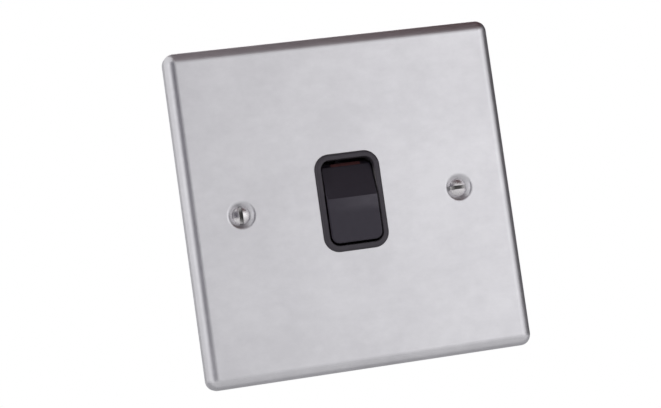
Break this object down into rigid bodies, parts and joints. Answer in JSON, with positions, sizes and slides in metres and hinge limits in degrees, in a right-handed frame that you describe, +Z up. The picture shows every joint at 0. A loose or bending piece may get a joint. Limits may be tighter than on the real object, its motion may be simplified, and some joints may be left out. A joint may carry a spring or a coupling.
{
  "type": "isolator switch",
  "caption": "Square satin steel wall plate with a black rocker that isolates both poles, screw terminals behind and countersunk fixing screws.",
  "frame": {"origin": "middle of the plate's rear rim, in the wall plane", "axes": "+X to the right seen from the front, +Y into the wall, +Z up"},
  "size_m": [0.09, 0.0296, 0.09],
  "materials": {
    "satin_steel": "satin",
    "black_moulding": "fine matt",
    "rocker_black": "satin",
    "flag_red": "satin",
    "white_nylon": "satin",
    "spring_steel": "bright",
    "copper": "satin",
    "contact_silver": "bright",
    "brass": "satin",
    "screw_brass": "turned",
    "plated_steel": "bright plating"
  },
  "bodies": {
    "case": {"front_plate": "satin_steel", "switch_housing": "black_moulding", "base": "black_moulding", "fixing_screw_left": "plated_steel", "fixing_screw_right": "plated_steel", "earth_strap": "brass", "earth_terminal": "brass", "earth_screw": "screw_brass", "fixed_tip_live": "contact_silver", "supply_strap_live": "brass", "load_strap_live": "brass", "supply_terminal_live": "brass", "supply_screw_live": "screw_brass", "base_screw_supply_live": "plated_steel", "load_terminal_live": "brass", "load_screw_live": "screw_brass", "base_screw_load_live": "plated_steel", "fixed_tip_neutral": "contact_silver", "supply_strap_neutral": "brass", "load_strap_neutral": "brass", "supply_terminal_neutral": "brass", "supply_screw_neutral": "screw_brass", "base_screw_supply_neutral": "plated_steel", "load_terminal_neutral": "brass", "load_screw_neutral": "screw_brass", "base_screw_load_neutral": "plated_steel"},
    "rocker": {"rocker": "rocker_black", "on_flag": "flag_red", "plunger_spring_live": "spring_steel", "plunger_spring_neutral": "spring_steel"},
    "plunger_live": {"plunger_live": "white_nylon"},
    "contact_live": {"moving_contact_live": "copper", "moving_tip_live": "contact_silver"},
    "plunger_neutral": {"plunger_neutral": "white_nylon"},
    "contact_neutral": {"moving_contact_neutral": "copper", "moving_tip_neutral": "contact_silver"}
  },
  "joints": [
    {"name": "rocker_tilt", "type": "hinge", "parent": "case", "child": "rocker", "pos_m": [0, -0.00384, 0.0005], "axis": [1, 0, 0], "range_deg": [0, 17]},
    {"name": "plunger_live_slide", "type": "slide", "parent": "rocker", "child": "plunger_live", "axis": [0, 0.989, -0.1478], "range_m": [-0.0012, 0], "stiffness_N_per_m": 500, "springref_m": 0.003, "deforming": ["plunger_spring_live"]},
    {"name": "contact_live_tilt", "type": "hinge", "parent": "case", "child": "contact_live", "pos_m": [-0.0036, 0.00541, 0.0005], "axis": [1, 0, 0], "range_deg": [-22, 0]},
    {"name": "plunger_neutral_slide", "type": "slide", "parent": "rocker", "child": "plunger_neutral", "axis": [0, 0.989, -0.1478], "range_m": [-0.0012, 0], "stiffness_N_per_m": 500, "springref_m": 0.003, "deforming": ["plunger_spring_neutral"]},
    {"name": "contact_neutral_tilt", "type": "hinge", "parent": "case", "child": "contact_neutral", "pos_m": [0.0036, 0.00541, 0.0005], "axis": [1, 0, 0], "range_deg": [-22, 0]}
  ],
  "couplings": [
    {"joint": "contact_live_tilt", "follows": "rocker_tilt", "ratio": -1.294},
    {"joint": "contact_neutral_tilt", "follows": "rocker_tilt", "ratio": -1.294}
  ]
}
